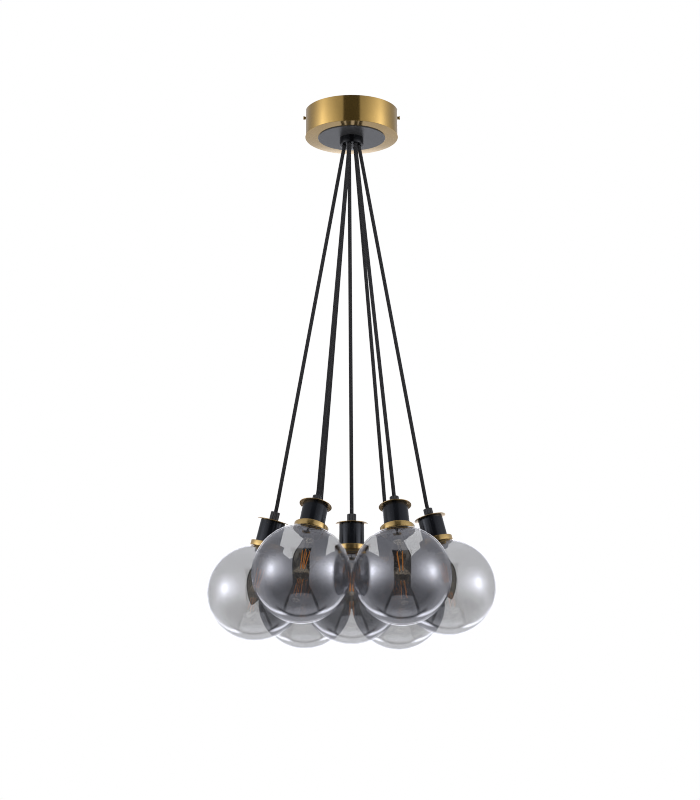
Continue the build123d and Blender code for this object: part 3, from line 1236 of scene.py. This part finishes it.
def floorPattern(shader, x, y, z):
    # a mat with a dark edge, and two bright lines that run away from its back corners
    r = room
    low = shader.ramp(z, *r["low"])
    depth = (0 - z).maths('MAXIMUM', r["leastDepth"])
    aside = x.maths('ABSOLUTE') / depth
    along = y / depth
    mat = (1 - shader.ramp(aside, *r["matSide"])) * (1 - shader.ramp(along, *r["matBack"])) * low
    edge = shader.band(aside, *r["edgeBand"]) * (1 - shader.ramp(along, *r["edgeBack"])) * low
    end = shader.band(along, *r["endBand"]) * (1 - shader.ramp(aside, *r["endSide"])) * low
    line = aside - along * r["lineLean"]
    width = along * r["lineGrowth"] + r["lineWidth"]
    bright = shader.band(line, 0, width) * shader.ramp(along, *r["lineFrom"]) * low
    pale = shader.ramp(along, *r["paleFrom"]) * low
    light = mat * r["matLevel"] + pale * r["paleLevel"] + bright * r["lineLevel"]
    return light, edge * r["edgeLevel"] + end * r["endLevel"]


def makeWorld():
    # white backdrop; what shines sees soft boxes at the sides, the dark gap where the camera stands,
    # a floor with a mat, and a bright sweep behind
    r = room
    world = bpy.data.worlds.new("studio")
    bpy.context.scene.world = world
    world.use_nodes = True
    shader = Shader(world.node_tree)
    path = shader.lightPath()
    seen, glossy, through = path["Is Camera Ray"], path["Is Glossy Ray"], path["Is Transmission Ray"]
    layers = path["Transparent Depth"]
    x, y, z = shader.split(shader.coords("Generated"))
    turn = (x.maths('ARCTAN2', y * -1.0) * (180 / math.pi)).maths('ABSOLUTE')
    height = z.maths('ARCSINE') * (180 / math.pi)

    share = height / r["gapTop"]
    flare = share * share * share * share * r["gapFlare"]
    gap = 1 - shader.ramp(turn - flare, r["gapTurn"] - r["gapSide"], r["gapTurn"] + r["gapSide"])
    gap = gap * shader.ramp(height, r["gapLow"] - r["gapEnd"], r["gapLow"] + r["gapEnd"])
    gap = gap * (1 - shader.ramp(height, r["gapTop"] - r["gapEnd"], r["gapTop"] + r["gapEnd"]))

    fromBox, fromHeight = turn - r["boxTurn"], height - r["boxHeight"]
    spread = shader.ramp(turn, r["boxTurn"] - r["boxBlend"], r["boxTurn"] + r["boxBlend"],
                         r["boxFront"], r["boxBack"])
    spot = (0 - squares(fromBox / spread, fromHeight / r["boxRise"])).maths('EXPONENT')
    core = (0 - squares(fromBox / r["coreSpread"], fromHeight / r["coreSpread"])).maths('EXPONENT')

    behind = shader.ramp(turn, *r["behind"])
    dim = shader.ramp(height, *r["dimHeight"]) * (1 - shader.ramp(y, *r["dimDepth"]))
    backRise = math.radians(r["backRise"])
    rim = shader.ramp(y * math.cos(backRise) + z * math.sin(backRise), *r["rim"])
    light, dark = floorPattern(shader, x, y, z)
    level = r["wallLevel"] + behind * r["behindLevel"] - dim * r["dimLevel"] + light - dark
    level = level.maths('MAXIMUM', r["leastLevel"]) + rim * r["rimLevel"]
    level = level + spot * r["boxLevel"] + core * r["coreLevel"]

    shine = level * (1 - gap) + gap * r["gapLevel"]
    shine = shine * (1 - layers.maths('GREATER_THAN', r["shineLayers"]) * r["shineLost"])
    clear = 1 - layers.maths('GREATER_THAN', r["clearLayers"]) * r["clearLost"]
    level = glossy * shine + (1 - glossy) * (through * clear + (1 - through) * r["fillLevel"])
    level = seen * clear + (1 - seen) * level
    background = shader.node("ShaderNodeBackground", Strength=level,
                             Color=shader.mixColour(glossy, r["white"], r["shineTint"]))
    background.link(shader.tree.nodes.new("ShaderNodeOutputWorld").inputs["Surface"])


def makeLights():
    for side in (-1, 1):
        angle = math.radians(studio["keyAzimuth"]) * side
        data = bpy.data.lights.new("softBox", 'AREA')
        data.energy = studio["keyPower"]
        data.size = studio["keySize"]
        lamp = bpy.data.objects.new("softBox", data)
        lamp.location = (math.sin(angle) * studio["keyDistance"], -math.cos(angle) * studio["keyDistance"],
                         studio["keyHeight"])
        aim = Vector(studio["keyAim"]) - lamp.location
        lamp.rotation_euler = aim.to_track_quat('-Z', 'Y').to_euler()
        lamp.visible_camera = False
        lamp.visible_glossy = False
        lamp.visible_transmission = False
        bpy.context.scene.collection.objects.link(lamp)


makeFloor()
makeWorld()
makeLights()
scene = bpy.context.scene
scene.view_settings.view_transform = 'Standard'
scene.cycles.filter_width = 1.0
scene.cycles.max_bounces = 28
scene.cycles.transmission_bounces = 28
scene.cycles.glossy_bounces = 8
scene.cycles.transparent_max_bounces = 24
print("studio made")
